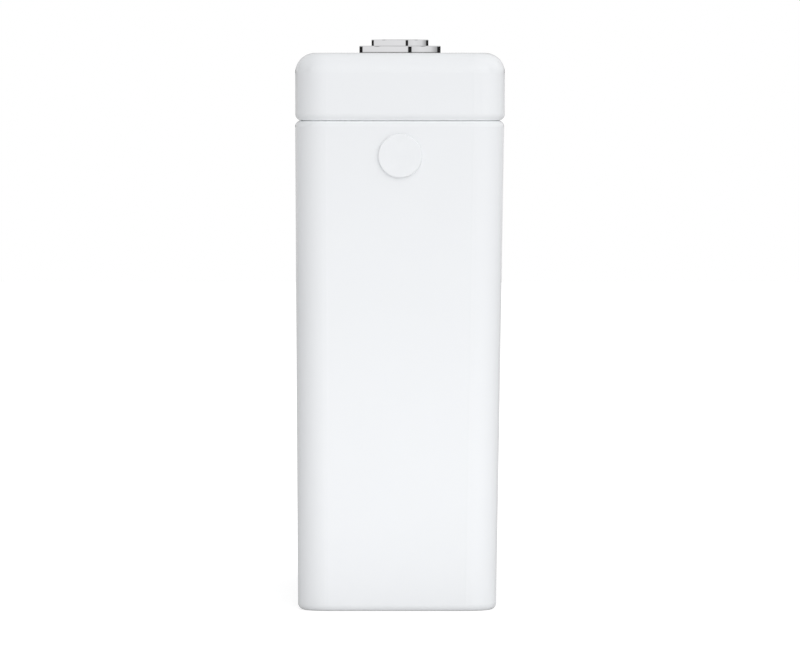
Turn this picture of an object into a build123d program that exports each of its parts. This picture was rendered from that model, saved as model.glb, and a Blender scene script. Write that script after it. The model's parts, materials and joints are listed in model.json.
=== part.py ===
from build123d import *
import math
import os

os.makedirs("parts", exist_ok=True)

# Dual-flush toilet cistern. Lengths are in mm and angles in degrees. Z is up, the front faces -Y,
# the wall of the room lies beyond +Y, and X runs along the width. The origin is where the axis of
# the flush outlet meets the plane of the base.

# Shared by every sub-part
overrun = 1.0
merge = 1.0
slip_fit = 0.05
contact_gap = 0.3
near = 0.01

# Ceramic tank
tank_width = 369.2
tank_height = 351.0
front_draft = 0.94
rear_draft = 0.33
wall = 11.0
corner_r = 22.0
rim_edge_r = 4.3
base_edge_r = 4.5
skirt_height = 30.0
floor_thickness = 11.0
floor_edge_r = 8.0
recess_edge_r = 5.0
coupling_bolt_pitch = 150.0
coupling_bolt_hole_r = 6.0
inlet_drop = 25.0
inlet_hole_r = 11.5
wall_fixing_pitch = 220.0
wall_fixing_hole_r = 4.0
wall_fixing_drop = 31.0

# Ceramic lid
lid_depth = 150.3
lid_height = 48.5
lid_overhang = 0.4
lid_rear_inset = 0.1
lid_top_r = 14.3
lid_bottom_r = 4.8
lid_wall = 10.0
lid_crown_r = 8.0
lip_gap = 2.0
lip_width = 6.0
lip_drop = 7.0
lip_rise = 8.0

# Flush button
bezel_r = 30.0
bezel_height = 5.2
bezel_edge_r = 0.6
key_r = 21.0
key_stand = 4.6
key_edge_r = 0.5
key_gap = 0.5
key_split = 0.6
key_skirt = 13.3
key_wall = 2.0
key_crown = 2.5
shank_wall = 2.25
shank_length = 27.5
button_hole_gap = 1.25
guide_plate_thickness = 3.0
guide_plate_rise = 2.0
button_nut_width = 6.1
button_nut_height = 8.0
button_nut_lug = 2.6
button_nut_lugs = 8
stem_r = 3.2
stem_gap = 0.3
rod_r = 2.0
rod_engagement = 14.0
rod_tip_r = 3.0
rod_tip_height = 4.0
rod_locknut_r = 4.8
rod_locknut_height = 3.5
spring_r = 5.5
spring_wire = 1.2

# Flush valve base and its seals
outlet_bore_r = 25.0
outlet_mouth_depth = 24.0
outlet_throat_r = 24.2
outlet_throat_lead = 1.5
tail_r = 29.8
outlet_hole_gap = 2.2
seal_gap = 0.4
base_seal_thickness = 4.0
base_seal_width = 11.8
base_flange_r = 45.0
base_flange_thickness = 4.0
seat_bore_r = 27.0
seat_width = 2.5
seat_rise = 6.0
seat_flare = 5.0
bayonet_r = 41.0
bayonet_wall = 2.8
bayonet_height = 9.0
back_nut_height = 14.0
back_nut_width = 8.1
back_nut_lug = 3.5
back_nut_lugs = 6
gasket_width = 12.7

# Valve cage and its cap
cage_gap = 0.3
cage_foot_wall = 2.9
cage_foot_height = 8.0
cage_r = 37.7
cage_wall = 2.2
cage_window_width = 44.0
cage_window_height = 39.0
cage_tab_width = 9.0
cage_tab_thickness = 2.5
cage_legs = 4
cap_gap = 0.2
cap_wall = 2.1
cap_skirt = 10.0
cap_thickness = 5.0
cap_bore_gap = 0.5
cheek_spread = 41.0
cheek_thickness = 3.5
cheek_head_r = 8.0
cheek_foot_width = 30.0
pivot_rise = 45.0
pivot_drop = 51.0
pivot_pin_r = 2.5
pivot_pin_overhang = 1.0

# Crossed flush levers
lever_swing = 28.0
lever_input_arm = 12.0
lever_output_arm = 30.0
lever_plane = 8.0
lever_thickness = 6.0
lever_hub_r = 5.5
lever_root_half = 4.6
lever_end_half = 2.0
lever_pad_r = 4.0
lever_nose_r = 3.5
lever_nose_width = 8.0
lever_side_gap = 0.3

# Overflow tube, seal and lifting yoke
overflow_r = 15.0
overflow_wall = 1.8
overflow_top_gap = 25.0
seal_thickness = 3.0
seal_overlap = 0.5
carrier_wall = 2.45
carrier_height = 22.0
carrier_shoulder = 1.5
carrier_flange_r = 29.0
carrier_flange_thickness = 3.0
carrier_neck_r = 14.0
carrier_bore_r = 11.5
carrier_keeper_r = 20.0
float_bell_gap = 2.0
float_bell_height = 45.0
float_bell_rise = 65.0
float_bell_wall = 2.0
yoke_width = 4.0
yoke_height = 6.0
yoke_rise = 7.0
yoke_arm_width = 6.0
hook_thickness = 3.0
hook_lead = 3.5
hook_width = 10.0
post_gap = 1.5
post_thickness = 4.0

# Half-flush link and float
link_plane = 42.0
link_thickness = 3.0
link_width = 12.0
link_slot_gap = 0.5
link_guide_gap = 0.4
link_guide_wall = 3.0
link_guide_height = 4.0
link_guide_drop = 6.0
link_guide_pitch = 18.0
half_float_depth = 22.0
half_float_width = 24.0
half_float_height = 45.0
half_float_drop = 5.0
half_float_headroom = 3.0
half_float_wall = 2.0
half_float_corner_r = 3.0
half_float_lip = 4.3
half_float_lip_width = 2.0

# Side inlet fittings
washer_thickness = 2.0
washer_width = 4.6
inlet_tail_r = 10.48
inlet_tail_reach = 30.0
tail_relief_width = 1.5
tail_relief_depth = 0.6
inlet_flange_r = 15.8
inlet_flange_thickness = 3.0
inlet_bore_r = 6.5
inlet_throat_r = 5.0
inlet_nut_r = 16.0
inlet_nut_height = 8.0
filter_wall = 1.0
filter_length = 22.0
plug_head_r = 15.75
plug_head_height = 2.0
plug_edge_r = 0.9
plug_shank_r = 10.4
plug_nut_height = 7.0
plug_shank_overhang = 2.0
plug_bore_r = 7.5

# Fill valve
fill_inset = 33.6
barrel_r = 15.0
barrel_rise = 12.0
barrel_drop = 21.0
barrel_cavity_r = 11.5
barrel_cavity_drop = 14.0
barrel_seat_r = 4.6
barrel_seat_rise = 12.0
arm_r = 7.8
spout_length = 15.0
delivery_r = 8.0
delivery_wall = 1.5
delivery_top_gap = 2.0
delivery_floor_gap = 19.0
diaphragm_thickness = 1.6
fill_cap_wall = 3.8
fill_cap_gap = 0.2
fill_cap_skirt = 4.0
fill_cap_crown = 6.4
pilot_r = 2.0
pilot_gap = 0.3
pilot_chamber_r = 5.0
pilot_chamber_height = 3.4

# Float arm, float and its rod
arm_swing = 26.0
arm_pivot_offset = 7.0
arm_reach = 20.0
arm_pivot_rise = 6.0
arm_half = 1.8
arm_width = 8.0
arm_pad_r = 2.5
arm_hub_r = 3.4
fork_width = 11.0
fork_slot = 5.0
fork_depth = 8.0
ear_spread = 16.0
ear_thickness = 2.0
ear_r = 4.0
arm_pin_r = 1.5
arm_pin_overhang = 0.6
float_r = 21.0
float_bore_r = 9.5
float_wall = 2.0
float_height = 55.0
float_drop = 35.0
float_edge_r = 2.0
lug_height = 8.0
lug_half_width = 5.0
float_rod_r = 2.0
float_rod_tail = 6.0
float_rod_head = 4.0
collar_r = 5.0
collar_thickness = 2.0
rod_shoulder_r = 3.5
rod_shoulder_height = 2.5
float_nut_r = 4.6
float_nut_height = 3.2

# Places that follow from the sizes above
half_width = tank_width / 2
lid_width = tank_width + 2 * lid_overhang
rim_front = lid_overhang - lid_depth / 2
rim_rear = lid_depth / 2 + lid_rear_inset
inner_corner_r = corner_r - wall
floor_top = skirt_height + floor_thickness
inlet_z = tank_height - inlet_drop
inner_side = half_width - wall
lid_top = tank_height + lid_height
lid_ceiling = lid_top - lid_wall
lid_corner_r = corner_r + lid_overhang
lip_offset = lid_overhang + wall + lip_gap
lip_corner_r = inner_corner_r - lip_gap

outlet_hole_r = tail_r + outlet_hole_gap
flange_underside = floor_top + base_seal_thickness
flange_top = flange_underside + base_flange_thickness
seat_z = flange_top + seat_rise
seat_r = seat_bore_r + seat_width
bayonet_inner_r = bayonet_r - bayonet_wall
bayonet_top = flange_top + bayonet_height
pivot_z = tank_height - pivot_drop
cap_top = pivot_z - pivot_rise
cage_top = cap_top - cap_thickness
cage_inner_r = cage_r - cage_wall
cap_inner_r = cage_r + cap_gap
cap_r = cap_inner_r + cap_wall

half_swing = math.radians(lever_swing / 2)
key_travel = 2 * lever_input_arm * math.sin(half_swing)
lift = 2 * lever_output_arm * math.sin(half_swing)
lever_pad_top = pivot_z + key_travel / 2 + lever_pad_r
rod_tip_z = lever_pad_top + contact_gap
lever_nose_top = pivot_z - lift / 2 + lever_nose_r
hook_underside = lever_nose_top + contact_gap
post_inner = lever_output_arm + lever_nose_r + post_gap
post_outer = post_inner + post_thickness

bezel_top = lid_top + bezel_height
key_top = bezel_top + key_stand
shank_bottom = lid_top - shank_length
shank_bore_r = key_r + key_gap
shank_r = shank_bore_r + shank_wall
button_hole_r = shank_r + button_hole_gap
guide_plate_underside = shank_bottom + guide_plate_rise
guide_plate_top = guide_plate_underside + guide_plate_thickness
key_underside = key_top - key_crown
stem_bottom = guide_plate_underside - contact_gap

seal_top = seat_z + seal_thickness
seal_r = seat_r + seal_overlap
overflow_bottom = seal_top + carrier_shoulder
overflow_top = pivot_z - overflow_top_gap
yoke_underside = cap_top + yoke_rise
yoke_top = yoke_underside + yoke_height
link_outer = link_plane + link_thickness
link_top = hook_underside + hook_thickness
upper_guide_top = cage_top - cap_skirt - link_guide_drop
lower_guide_bottom = upper_guide_top - link_guide_height - link_guide_pitch
half_float_top = lower_guide_bottom - lift - half_float_headroom
half_float_bottom = half_float_top - half_float_height
link_bottom = half_float_bottom + half_float_drop
slot_bottom = yoke_underside - lift - contact_gap
slot_top = yoke_top + lift + contact_gap

fill_x = inner_side - fill_inset
tail_end = half_width + inlet_tail_reach
nut_face = half_width + inlet_nut_height
flange_inner = inner_side - washer_thickness - inlet_flange_thickness
barrel_top = inlet_z + barrel_rise
barrel_bottom = inlet_z - barrel_drop
spout_bottom = barrel_bottom - spout_length
delivery_inner_r = delivery_r - delivery_wall
fill_cap_ceiling = barrel_top + diaphragm_thickness
fill_cap_top = fill_cap_ceiling + fill_cap_crown
fill_cap_r = barrel_r + fill_cap_gap + fill_cap_wall

half_arm_swing = math.radians(arm_swing / 2)
arm_pivot_x = fill_x - arm_pivot_offset
arm_pivot_z = fill_cap_top + arm_pivot_rise
float_rod_x = arm_pivot_x - arm_reach
float_travel = 2 * arm_reach * math.sin(half_arm_swing)
pilot_travel = 2 * arm_pivot_offset * math.sin(half_arm_swing)
fork_pad_z = arm_pivot_z - float_travel / 2
pilot_top = arm_pivot_z + pilot_travel / 2 - arm_pad_r - contact_gap
pilot_bottom = fill_cap_ceiling + pilot_travel + contact_gap
float_top = spout_bottom - float_drop
float_bottom = float_top - float_height

centre_up = (Align.CENTER, Align.CENTER, Align.MIN)
corner_up = (Align.MIN, Align.MIN, Align.MIN)


# Shapes used by many sub-parts


def disc(radius, bottom, top):
    """Solid cylinder about Z between two heights."""
    return Pos(0, 0, bottom) * Cylinder(radius, top - bottom, align=centre_up)


def ring(outer_r, inner_r, bottom, top):
    """Hollow cylinder about Z between two heights."""
    return disc(outer_r, bottom, top) - disc(inner_r, bottom - overrun, top + overrun)


def block(x_low, x_high, y_low, y_high, z_low, z_high):
    """Box between two limits on each axis."""
    box = Box(x_high - x_low, y_high - y_low, z_high - z_low, align=corner_up)
    return Pos(x_low, y_low, z_low) * box


def turned(points):
    """Body of revolution about Z from an outline of (radius, height) points."""
    outline = Polyline(*[(r, 0, z) for r, z in points], close=True)
    return revolve(make_face(outline), Axis.Z)


def pin_along_y(radius, x, z, y_low, y_high):
    """Cylinder along Y at a place in the XZ plane."""
    return Pos(x, 0, z) * Rotation(-90, 0, 0) * disc(radius, y_low, y_high)


def plate_along_y(points, y_low, y_high):
    """Flat plate between two Y limits, from an outline of (x, z) points."""
    outline = Polyline(*[(x, y_low, z) for x, z in points], close=True)
    return extrude(make_face(outline), amount=y_high - y_low, dir=(0, 1, 0))


def prism_along_x(points, half_length):
    """Prism along X, centred on the YZ plane, from an outline of (y, z) points."""
    outline = Polyline(*[(0, y, z) for y, z in points], close=True)
    return extrude(make_face(outline), amount=half_length, dir=(1, 0, 0), both=True)


def rounded_slab(offset, radius, bottom, top):
    """Upright slab with the lid's plan drawn in by an offset."""
    plan = RectangleRounded(lid_width - 2 * offset, lid_depth - 2 * offset, radius)
    return Pos(0, 0, bottom) * extrude(plan, amount=top - bottom)


def side_fitting(shape):
    """Turns a shape built about Z so that it lies along X at the height of the side inlets."""
    return Pos(0, 0, inlet_z) * Rotation(0, 90, 0) * shape


def hexagon(radius, bottom, top):
    """Hexagonal bar about Z; the radius reaches its corners."""
    return Pos(0, 0, bottom) * extrude(RegularPolygon(radius, 6), amount=top - bottom)


def lugged_nut(inner_r, width, lug, lugs, bottom, top):
    """Ring nut with hand lugs spaced round it."""
    outer_r = inner_r + width
    nut = disc(outer_r, bottom, top)
    hand_lug = block(outer_r - lug, outer_r + lug, -lug, lug, bottom, top)
    for turn in range(lugs):
        nut += Rotation(0, 0, 360 * turn / lugs) * hand_lug
    return nut - disc(inner_r, bottom - overrun, top + overrun)


def rim_circles(shape, radius, height):
    """The circular edges of one radius at one height."""
    edges = shape.edges().filter_by(GeomType.CIRCLE)
    return [e for e in edges if abs(e.radius - radius) < near and abs(e.center().Z - height) < near]


def save(name, shape):
    """Writes one sub-part and prints its volume."""
    export_step(shape, "parts/" + name + ".step")
    print(name, len(shape.solids()), round(shape.volume))


# Ceramic


def front_face(height):
    """Y of the tank's outer front face at a height."""
    return rim_front + (tank_height - height) * math.tan(math.radians(front_draft))


def rear_face(height):
    """Y of the tank's outer rear face at a height."""
    return rim_rear - (tank_height - height) * math.tan(math.radians(rear_draft))


def tank_form(offset, radius, bottom, top):
    """The tank's drafted outer form, drawn in by an offset, between two heights."""
    outline = [
        (front_face(top) + offset, top),
        (rear_face(top) - offset, top),
        (rear_face(bottom) - offset, bottom),
        (front_face(bottom) + offset, bottom),
    ]
    form = prism_along_x(outline, half_width - offset)
    sides = form.faces().sort_by(Axis.X)
    uprights = [
        edge
        for face in (sides[0], sides[-1])
        for edge in (face.edges().sort_by(Axis.Y)[0], face.edges().sort_by(Axis.Y)[-1])
    ]
    return fillet(uprights, radius)


def make_tank_body():
    tank = tank_form(0, corner_r, 0, tank_height)
    tank = fillet(tank.edges().group_by(Axis.Z)[-1], rim_edge_r)
    tank = fillet(tank.edges().group_by(Axis.Z)[0], base_edge_r)
    cavity = tank_form(wall, inner_corner_r, floor_top, tank_height + overrun)
    cavity = fillet(cavity.edges().group_by(Axis.Z)[0], floor_edge_r)
    recess = tank_form(wall, inner_corner_r, -overrun, skirt_height)
    recess = fillet(recess.edges().group_by(Axis.Z)[-1], recess_edge_r)
    tank = tank - cavity - recess
    tank -= disc(outlet_hole_r, skirt_height - overrun, floor_top + overrun)
    bolt_hole = disc(coupling_bolt_hole_r, skirt_height - overrun, floor_top + overrun)
    tank -= Pos(coupling_bolt_pitch / 2, 0, 0) * bolt_hole
    tank -= Pos(-coupling_bolt_pitch / 2, 0, 0) * bolt_hole
    tank -= side_fitting(disc(inlet_hole_r, -half_width - overrun, half_width + overrun))
    fixing_z = tank_height - wall_fixing_drop
    for x in (-wall_fixing_pitch / 2, wall_fixing_pitch / 2):
        tank -= pin_along_y(wall_fixing_hole_r, x, fixing_z, 0, rim_rear + overrun)
    return tank


def make_tank_lid():
    lid = rounded_slab(0, lid_corner_r, tank_height, lid_top)
    lid = fillet(lid.edges().group_by(Axis.Z)[-1], lid_top_r)
    lid = fillet(lid.edges().group_by(Axis.Z)[0], lid_bottom_r)
    cavity = rounded_slab(lid_wall, lid_corner_r - lid_wall, tank_height - overrun, lid_ceiling)
    cavity = fillet(cavity.edges().group_by(Axis.Z)[-1], lid_crown_r)
    lid -= cavity
    inner_offset = lip_offset + lip_width
    inner_r = lip_corner_r - lip_width
    bead_r = lid_corner_r - lid_wall + merge
    bead = rounded_slab(lid_wall - merge, bead_r, tank_height, tank_height + lip_rise)
    bead += rounded_slab(lip_offset, lip_corner_r, tank_height - lip_drop, tank_height + merge)
    bead_bottom = tank_height - lip_drop - overrun
    bead -= rounded_slab(inner_offset, inner_r, bead_bottom, tank_height + lip_rise + overrun)
    lid += bead
    return lid - disc(button_hole_r, lid_ceiling - overrun, lid_top + overrun)


# Flush button, carried by the lid


def make_button_bezel():
    bezel = turned(
        [
            (0, guide_plate_underside),
            (shank_bore_r, guide_plate_underside),
            (shank_bore_r, shank_bottom),
            (shank_r, shank_bottom),
            (shank_r, lid_top),
            (bezel_r, lid_top),
            (bezel_r, bezel_top),
            (shank_bore_r, bezel_top),
            (shank_bore_r, guide_plate_top),
            (0, guide_plate_top),
        ]
    )
    bezel = fillet(rim_circles(bezel, bezel_r, bezel_top), bezel_edge_r)
    guide_hole = disc(stem_r + stem_gap, guide_plate_underside - overrun, guide_plate_top + overrun)
    for x in (-lever_input_arm, lever_input_arm):
        bezel -= Pos(x, 0, 0) * guide_hole
    return bezel


def make_button_nut():
    top = lid_ceiling
    bottom = top - button_nut_height
    inner_r = shank_r + slip_fit
    return lugged_nut(inner_r, button_nut_width, button_nut_lug, button_nut_lugs, bottom, top)


def make_flush_key():
    """The key on the -X half: a half-round cup with its stem."""
    skirt_bottom = key_top - key_skirt
    split = key_split / 2
    far = key_r + overrun
    below = skirt_bottom - 2 * overrun
    key = disc(key_r, skirt_bottom, key_top)
    key = fillet(rim_circles(key, key_r, key_top), key_edge_r)
    key -= block(-split, far, -far, far, below, key_top + overrun)
    hollow = disc(key_r - key_wall, skirt_bottom - overrun, key_underside)
    hollow -= block(-split - key_wall, far, -far, far, below, key_underside + overrun)
    key -= hollow
    stem = disc(stem_r, stem_bottom, key_underside + merge)
    stem -= disc(rod_r + slip_fit, stem_bottom - overrun, stem_bottom + rod_engagement + overrun)
    return key + Pos(-lever_input_arm, 0, 0) * stem


def make_key_spring():
    spring = ring(spring_r, spring_r - spring_wire, guide_plate_top, key_underside)
    return Pos(-lever_input_arm, 0, 0) * spring


def make_push_rod():
    rod = disc(rod_r, rod_tip_z, stem_bottom + rod_engagement)
    rod += disc(rod_tip_r, rod_tip_z, rod_tip_z + rod_tip_height)
    return Pos(-lever_input_arm, 0, 0) * rod


def make_rod_locknut():
    nut = hexagon(rod_locknut_r, stem_bottom - rod_locknut_height, stem_bottom)
    nut -= disc(rod_r + slip_fit, stem_bottom - rod_locknut_height - overrun, stem_bottom + overrun)
    return Pos(-lever_input_arm, 0, 0) * nut


# Flush valve base and seals


def make_valve_base():
    return turned(
        [
            (outlet_bore_r, 0),
            (tail_r, 0),
            (tail_r, flange_underside),
            (base_flange_r, flange_underside),
            (base_flange_r, flange_top),
            (bayonet_r, flange_top),
            (bayonet_r, bayonet_top),
            (bayonet_inner_r, bayonet_top),
            (bayonet_inner_r, flange_top),
            (seat_r, flange_top),
            (seat_r, seat_z),
            (seat_bore_r, seat_z),
            (seat_bore_r, flange_underside + seat_flare),
            (outlet_throat_r, flange_underside),
            (outlet_throat_r, outlet_mouth_depth + outlet_throat_lead),
            (outlet_bore_r, outlet_mouth_depth),
        ]
    )


def make_base_seal():
    inner_r = tail_r + seal_gap
    return ring(inner_r + base_seal_width, inner_r, floor_top, flange_underside)


def make_outlet_back_nut():
    bottom = skirt_height - back_nut_height
    inner_r = tail_r + slip_fit
    return lugged_nut(inner_r, back_nut_width, back_nut_lug, back_nut_lugs, bottom, skirt_height)


def make_coupling_gasket():
    inner_r = tail_r + seal_gap
    top = skirt_height - back_nut_height
    gasket = ring(inner_r + gasket_width, inner_r, 0, top)
    return chamfer(rim_circles(gasket, inner_r + gasket_width, 0), base_seal_thickness)


# Valve cage and cap


def make_valve_cage():
    foot_r = bayonet_inner_r - cage_gap
    window_bottom = flange_top + cage_foot_height
    window_top = window_bottom + cage_window_height
    cage = ring(cage_r, cage_inner_r, flange_top, cage_top)
    window = block(-cap_r, cap_r, -cage_window_width / 2, cage_window_width / 2, window_bottom, window_top)
    cage -= window
    cage -= Rotation(0, 0, 90) * window
    cage += ring(foot_r, foot_r - cage_foot_wall, flange_top, window_bottom)
    tab_top = bayonet_top + cage_tab_thickness
    tab = block(cage_inner_r, bayonet_r, -cage_tab_width / 2, cage_tab_width / 2, bayonet_top, tab_top)
    tab -= disc(cage_inner_r, bayonet_top - overrun, tab_top + overrun)
    for leg in range(cage_legs):
        cage += Rotation(0, 0, 360 * (leg + 0.5) / cage_legs) * tab
    for bottom in (lower_guide_bottom, lower_guide_bottom + link_guide_pitch):
        cage += make_link_guide(bottom, bottom + link_guide_height)
    return cage


def make_link_guide(bottom, top):
    """Loop on the side of the cage that the half-flush link slides through."""
    reach = link_outer + link_guide_gap + link_guide_wall
    half = link_width / 2 + link_guide_gap
    side = half + link_guide_wall
    loop = block(-reach, -cage_inner_r + link_guide_wall, -side, side, bottom, top)
    loop = Pos(0, -lever_plane, 0) * loop
    loop -= disc(cage_inner_r, bottom - overrun, top + overrun)
    slot = block(
        -link_outer - link_guide_gap,
        -link_plane + link_guide_gap,
        -lever_plane - half,
        -lever_plane + half,
        bottom - overrun,
        top + overrun,
    )
    return loop - slot


def make_cage_cap():
    cap = ring(cap_r, cap_inner_r, cage_top - cap_skirt, cage_top + merge)
    cap += ring(cap_r, overflow_r + cap_bore_gap, cage_top, cap_top)
    inner_y = cheek_spread / 2
    cheek = plate_along_y(
        [
            (-cheek_foot_width / 2, cap_top - merge),
            (cheek_foot_width / 2, cap_top - merge),
            (cheek_head_r, pivot_z),
            (-cheek_head_r, pivot_z),
        ],
        inner_y,
        inner_y + cheek_thickness,
    )
    cheek += pin_along_y(cheek_head_r, 0, pivot_z, inner_y, inner_y + cheek_thickness)
    cap += cheek
    cap += Rotation(0, 0, 180) * cheek
    reach = inner_y + cheek_thickness + overrun
    return cap - pin_along_y(pivot_pin_r + slip_fit, 0, pivot_z, -reach, reach)


def make_lever_pivot_pin():
    reach = cheek_spread / 2 + cheek_thickness + pivot_pin_overhang
    return pin_along_y(pivot_pin_r, 0, pivot_z, -reach, reach)


# Crossed flush levers


def make_flush_lever():
    """The lever of the full flush, pressed at -X and lifting at +X, at rest on its tilt."""
    low = lever_plane - lever_thickness / 2
    high = lever_plane + lever_thickness / 2
    lever = plate_along_y(
        [
            (-lever_input_arm, lever_end_half),
            (0, lever_root_half),
            (lever_output_arm, lever_end_half),
            (lever_output_arm, -lever_end_half),
            (0, -lever_root_half),
            (-lever_input_arm, -lever_end_half),
        ],
        low,
        high,
    )
    lever += pin_along_y(lever_hub_r, 0, 0, lever_side_gap, cheek_spread / 2 - lever_side_gap)
    lever += pin_along_y(lever_pad_r, -lever_input_arm, 0, -rod_tip_r, high)
    nose_low = lever_plane - lever_nose_width / 2
    lever += pin_along_y(lever_nose_r, lever_output_arm, 0, nose_low, nose_low + lever_nose_width)
    lever -= pin_along_y(pivot_pin_r + slip_fit, 0, 0, -overrun, cheek_spread / 2)
    return Pos(0, 0, pivot_z) * Rotation(0, lever_swing / 2, 0) * lever


# Overflow tube with the seal and floats that it carries


def make_overflow_tube():
    return ring(overflow_r, overflow_r - overflow_wall, overflow_bottom, overflow_top)


def make_seal_carrier():
    sleeve_r = overflow_r + slip_fit
    keeper_bottom = seat_z - carrier_flange_thickness
    return turned(
        [
            (carrier_bore_r, keeper_bottom),
            (carrier_keeper_r, keeper_bottom),
            (carrier_keeper_r, seat_z),
            (carrier_neck_r, seat_z),
            (carrier_neck_r, seal_top),
            (carrier_flange_r, seal_top),
            (carrier_flange_r, seal_top + carrier_flange_thickness),
            (sleeve_r + carrier_wall, seal_top + carrier_flange_thickness),
            (sleeve_r + carrier_wall, seal_top + carrier_height),
            (sleeve_r, seal_top + carrier_height),
            (sleeve_r, overflow_bottom),
            (carrier_bore_r, overflow_bottom),
        ]
    )


def make_flush_seal():
    return ring(seal_r, carrier_neck_r + slip_fit, seat_z, seal_top)


def make_flush_float():
    """Bell float on the overflow tube, open below."""
    bottom = seal_top + float_bell_rise
    top = bottom + float_bell_height
    bell_r = cage_inner_r - float_bell_gap
    sleeve_r = overflow_r + slip_fit
    return turned(
        [
            (sleeve_r, bottom),
            (sleeve_r + float_bell_wall, bottom),
            (sleeve_r + float_bell_wall, top - float_bell_wall),
            (bell_r - float_bell_wall, top - float_bell_wall),
            (bell_r - float_bell_wall, bottom),
            (bell_r, bottom),
            (bell_r, top),
            (sleeve_r, top),
        ]
    )


def make_hook(inner_x, outer_x):
    """Plate over a lever's nose, on the +X side in the lever's plane."""
    half = hook_width / 2
    return block(inner_x, outer_x, lever_plane - half, lever_plane + half, hook_underside, link_top)


def make_lift_yoke():
    """Ring on the overflow tube, with a post to the full lever and an arm into the half link."""
    half = yoke_arm_width / 2
    yoke = disc(overflow_r + yoke_width, yoke_underside, yoke_top)
    yoke += block(overflow_r, post_outer, lever_plane - half, lever_plane + half, yoke_underside, yoke_top)
    yoke += block(post_inner, post_outer, lever_plane - half, lever_plane + half, yoke_underside, link_top)
    yoke += make_hook(lever_output_arm - hook_lead, post_outer)
    arm_end = link_outer + link_thickness
    yoke += block(-arm_end, -overflow_r, -lever_plane - half, -lever_plane + half, yoke_underside, yoke_top)
    return yoke - disc(overflow_r + slip_fit, yoke_underside - overrun, yoke_top + overrun)


# Half-flush link with its own float


def make_half_lift_link():
    half = link_width / 2
    leg = block(-link_outer, -link_plane, -lever_plane - half, -lever_plane + half, link_bottom, link_top)
    leg += Rotation(0, 0, 180) * make_hook(lever_output_arm - hook_lead, link_plane + merge)
    slot_half = yoke_arm_width / 2 + link_slot_gap
    return leg - block(
        -link_outer - overrun,
        -link_plane + overrun,
        -lever_plane - slot_half,
        -lever_plane + slot_half,
        slot_bottom,
        slot_top,
    )


def make_half_flush_float():
    """Open-bottomed float box that clips round the foot of the half-flush link."""
    outer = link_outer + half_float_depth
    half = half_float_width / 2
    box = block(-outer, -link_outer, -half, half, half_float_bottom, half_float_top)
    box = fillet(box.edges().filter_by(Axis.Z).group_by(Axis.X)[0], half_float_corner_r)
    box -= block(
        -outer + half_float_wall,
        -link_outer - half_float_wall,
        -half + half_float_wall,
        half - half_float_wall,
        half_float_bottom - overrun,
        half_float_top - half_float_wall,
    )
    lip_y = link_width / 2 + slip_fit
    lip_end = -link_outer + half_float_lip
    lip_edge = lip_y + half_float_lip_width
    lip = block(-link_outer - merge, lip_end, lip_y, lip_edge, half_float_bottom, half_float_top)
    box += lip
    box += mirror(lip, Plane.XZ)
    return Pos(0, -lever_plane, 0) * box


# Side inlet fittings


def make_blanking_plug():
    face = half_width + plug_head_height
    shank_end = inner_side - washer_thickness - plug_nut_height - plug_shank_overhang
    plug = disc(plug_head_r, half_width, face)
    plug = fillet(rim_circles(plug, plug_head_r, face), plug_edge_r)
    plug += disc(plug_shank_r, shank_end, half_width + merge)
    plug -= disc(plug_bore_r, shank_end - overrun, half_width)
    return Rotation(0, 0, 180) * side_fitting(plug)


def make_washer(shank_r):
    inner_r = shank_r + seal_gap
    return side_fitting(ring(inner_r + washer_width, inner_r, inner_side - washer_thickness, inner_side))


def make_plug_nut():
    top = inner_side - washer_thickness
    nut = hexagon(inlet_nut_r, top - plug_nut_height, top)
    nut -= disc(plug_shank_r + slip_fit, top - plug_nut_height - overrun, top + overrun)
    return Rotation(0, 0, 180) * side_fitting(nut)


def make_inlet_nut():
    nut = hexagon(inlet_nut_r, half_width, nut_face)
    nut -= disc(inlet_tail_r + slip_fit, half_width - overrun, nut_face + overrun)
    return side_fitting(nut)


def make_inlet_filter():
    """Cup strainer pushed into the end of the inlet tail."""
    outer_r = inlet_bore_r - slip_fit
    strainer = disc(outer_r, tail_end - filter_length, tail_end)
    strainer -= disc(outer_r - filter_wall, tail_end - filter_length + filter_wall, tail_end + overrun)
    return side_fitting(strainer)


# Fill valve


def at_fill_valve(shape):
    """Moves a shape built about Z to the fill valve's upright axis."""
    return Pos(fill_x, 0, 0) * shape


def make_fill_valve_body():
    body = side_fitting(disc(inlet_tail_r, flange_inner, tail_end))
    body += side_fitting(disc(inlet_flange_r, flange_inner, flange_inner + inlet_flange_thickness))
    body += side_fitting(disc(arm_r, fill_x, flange_inner + merge))
    body += at_fill_valve(disc(barrel_r, barrel_bottom, barrel_top))
    body += at_fill_valve(disc(delivery_inner_r - slip_fit, spout_bottom, barrel_bottom + merge))
    cavity_bottom = barrel_top - barrel_cavity_drop
    body -= at_fill_valve(disc(barrel_cavity_r, cavity_bottom, barrel_top + overrun))
    body += at_fill_valve(disc(barrel_seat_r, cavity_bottom - merge, cavity_bottom + barrel_seat_rise))
    spout_bore_r = delivery_inner_r - delivery_wall - slip_fit
    seat_bore = barrel_seat_r - delivery_wall
    seat_top = cavity_bottom + barrel_seat_rise
    body -= at_fill_valve(disc(seat_bore, cavity_bottom - 2 * merge, seat_top + overrun))
    body -= at_fill_valve(disc(spout_bore_r, spout_bottom - overrun, barrel_bottom))
    body -= at_fill_valve(disc(seat_bore, barrel_bottom - overrun, cavity_bottom))
    filter_end = tail_end - filter_length
    body -= side_fitting(disc(inlet_throat_r, fill_x + barrel_seat_r + merge, filter_end + merge))
    body -= side_fitting(disc(inlet_bore_r, filter_end, tail_end + overrun))
    relief_r = inlet_tail_r - tail_relief_depth
    body -= side_fitting(ring(inlet_tail_r + overrun, relief_r, nut_face, nut_face + tail_relief_width))
    return body


def make_delivery_tube():
    top = barrel_bottom - delivery_top_gap
    bottom = floor_top + delivery_floor_gap
    return at_fill_valve(ring(delivery_r, delivery_inner_r, bottom, top))


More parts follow.
